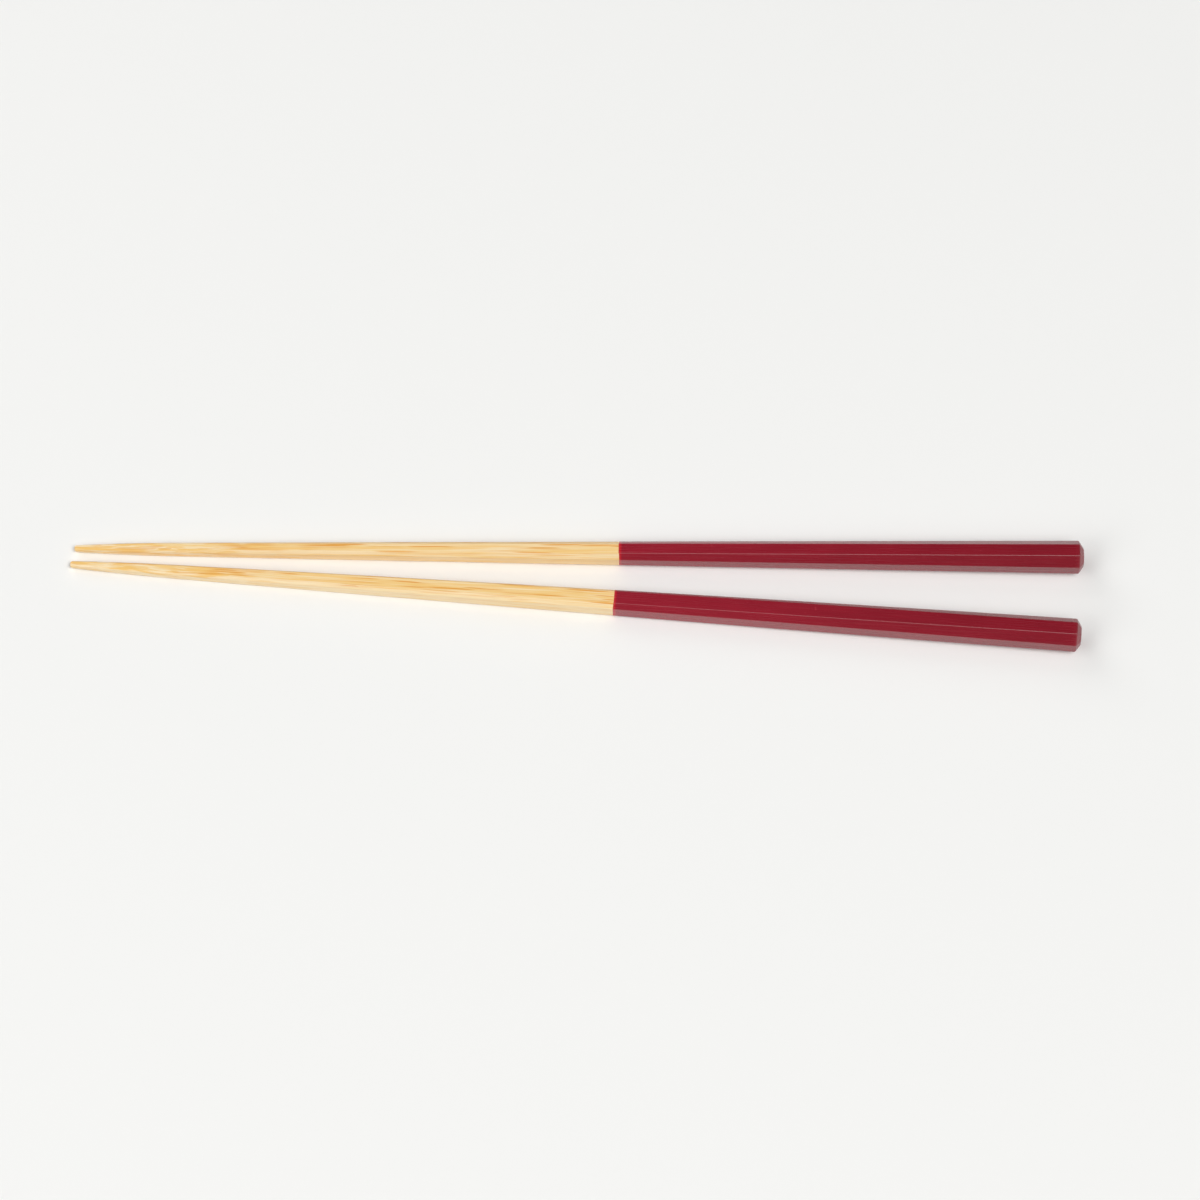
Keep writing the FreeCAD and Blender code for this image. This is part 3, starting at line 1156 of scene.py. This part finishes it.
@dataclass
class Table:
    """The plain pale surface that the sticks lie on, in metres."""

    half_side: float = 3.0
    colour: Colour = tint(243, 243, 241)

    def build(self) -> bpy.types.Object:
        """Builds the surface.

        Returns:
            The floor.
        """
        reach = self.half_side
        corners = [(-reach, -reach, 0), (reach, -reach, 0), (reach, reach, 0), (-reach, reach, 0)]
        mesh = bpy.data.meshes.new("table")
        mesh.from_pydata(corners, [], [(0, 1, 2, 3)])
        return new_object("table", mesh)

    def dress(self, floor: bpy.types.Object) -> None:
        """Gives the floor its colour.

        Args:
            floor: The surface.
        """
        material, graph = new_material("pale_table")
        graph.show("BsdfDiffuse", {"Color": self.colour})
        floor.data.materials.append(material)


@dataclass(frozen=True)
class Softbox:
    """A rectangular lamp that points at the middle of the table, in metres and watts."""

    name: str
    place: tuple[float, float, float]
    width: float
    height: float
    power: float

    def build(self) -> bpy.types.Object:
        """Hangs the lamp.

        Returns:
            The lamp's object.
        """
        data = bpy.data.lights.new(self.name, "AREA")
        data.shape = "RECTANGLE"
        data.size = self.width
        data.size_y = self.height
        data.energy = self.power
        lamp = new_object(self.name, data)
        lamp.location = self.place
        lamp.rotation_euler = (-Vector(self.place)).to_track_quat("-Z", "Y").to_euler()
        return lamp


@dataclass
class Studio:
    """A large soft lamp high in front, a little to the right, and weak ones round the table."""

    fill: float = 0.03
    lamps: tuple[Softbox, ...] = (
        Softbox("key", (1.12, -1.12, 2.77), 1.8, 1.8, 70.2),
        Softbox("left_low", (-2.12, -1.65, 1.74), 1.8, 1.8, 31.3),
        Softbox("left_side", (-1.51, 0.0, 1.60), 1.24, 1.24, 8.5),
        Softbox("right_side", (1.65, 0.0, 1.46), 1.24, 1.24, 3.5),
        Softbox("rear", (-1.43, 1.32, 1.07), 1.24, 1.24, 13.0),
    )

    def build(self) -> None:
        """Lights the scene and sets how the picture is shown."""
        world = bpy.data.worlds.new("studio")
        world.use_nodes = True
        inputs = {"Color": (1.0, 1.0, 1.0, 1.0), "Strength": self.fill}
        Graph(world.node_tree).show("Background", inputs, "OutputWorld")
        bpy.context.scene.world = world
        for lamp in self.lamps:
            lamp.build()
        bpy.context.scene.view_settings.view_transform = "Standard"


@dataclass
class View:
    """The camera at the photograph's angle, in millimetres and degrees."""

    target: tuple[float, float, float] = (5.81, -4.59, 0.0)
    azimuth: float = 2.87
    elevation: float = 62.5
    distance: float = 1000.0
    lens: float = 132.0
    nearest: float = 10.0

    def build(self) -> bpy.types.Object:
        """Places the camera.

        Returns:
            The camera's object.
        """
        turn, lift = math.radians(self.azimuth), math.radians(self.elevation)
        level = math.cos(lift)
        back = Vector((math.sin(turn) * level, -math.cos(turn) * level, math.sin(lift)))
        data = bpy.data.cameras.new("view")
        data.lens = self.lens
        data.clip_start = self.nearest * MM
        camera = new_object("view", data)
        camera.location = (Vector(self.target) + back * self.distance) * MM
        camera.rotation_euler = (-back).to_track_quat("-Z", "Y").to_euler()
        bpy.context.scene.camera = camera
        return camera


def main() -> None:
    """Loads the frame and builds the sticks, the table, the light and the view."""
    logging.basicConfig(level=logging.INFO, format="%(name)s: %(message)s")
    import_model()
    bamboo, lacquer = BambooFinish(), LacquerFinish()
    sticks = (
        Chopstick(
            Lay(Side.FAR, start=-114.656),
            Facets(rear_swell=0.12, front_swell=0.1),
            Wood(seed=21.9, pale_side=80.0, pale_share=0.2),
            scuff=145.5,
        ),
        Chopstick(
            Lay(Side.NEAR, start=-115.206),
            Facets(rear_swell=0.8, front_swell=0.26),
            Wood(seed=83.7, pale_side=88.0, pale_share=0.66),
            scuff=170.0,
        ),
    )
    for stick in sticks:
        pieces = stick.build()
        stick.dress(pieces, bamboo, lacquer)
        for piece in pieces:
            LOG.info("%s: %d faces", piece.name, len(piece.data.polygons))
    table = Table()
    table.dress(table.build())
    Studio().build()
    View().build()


if __name__ == "__main__":
    main()
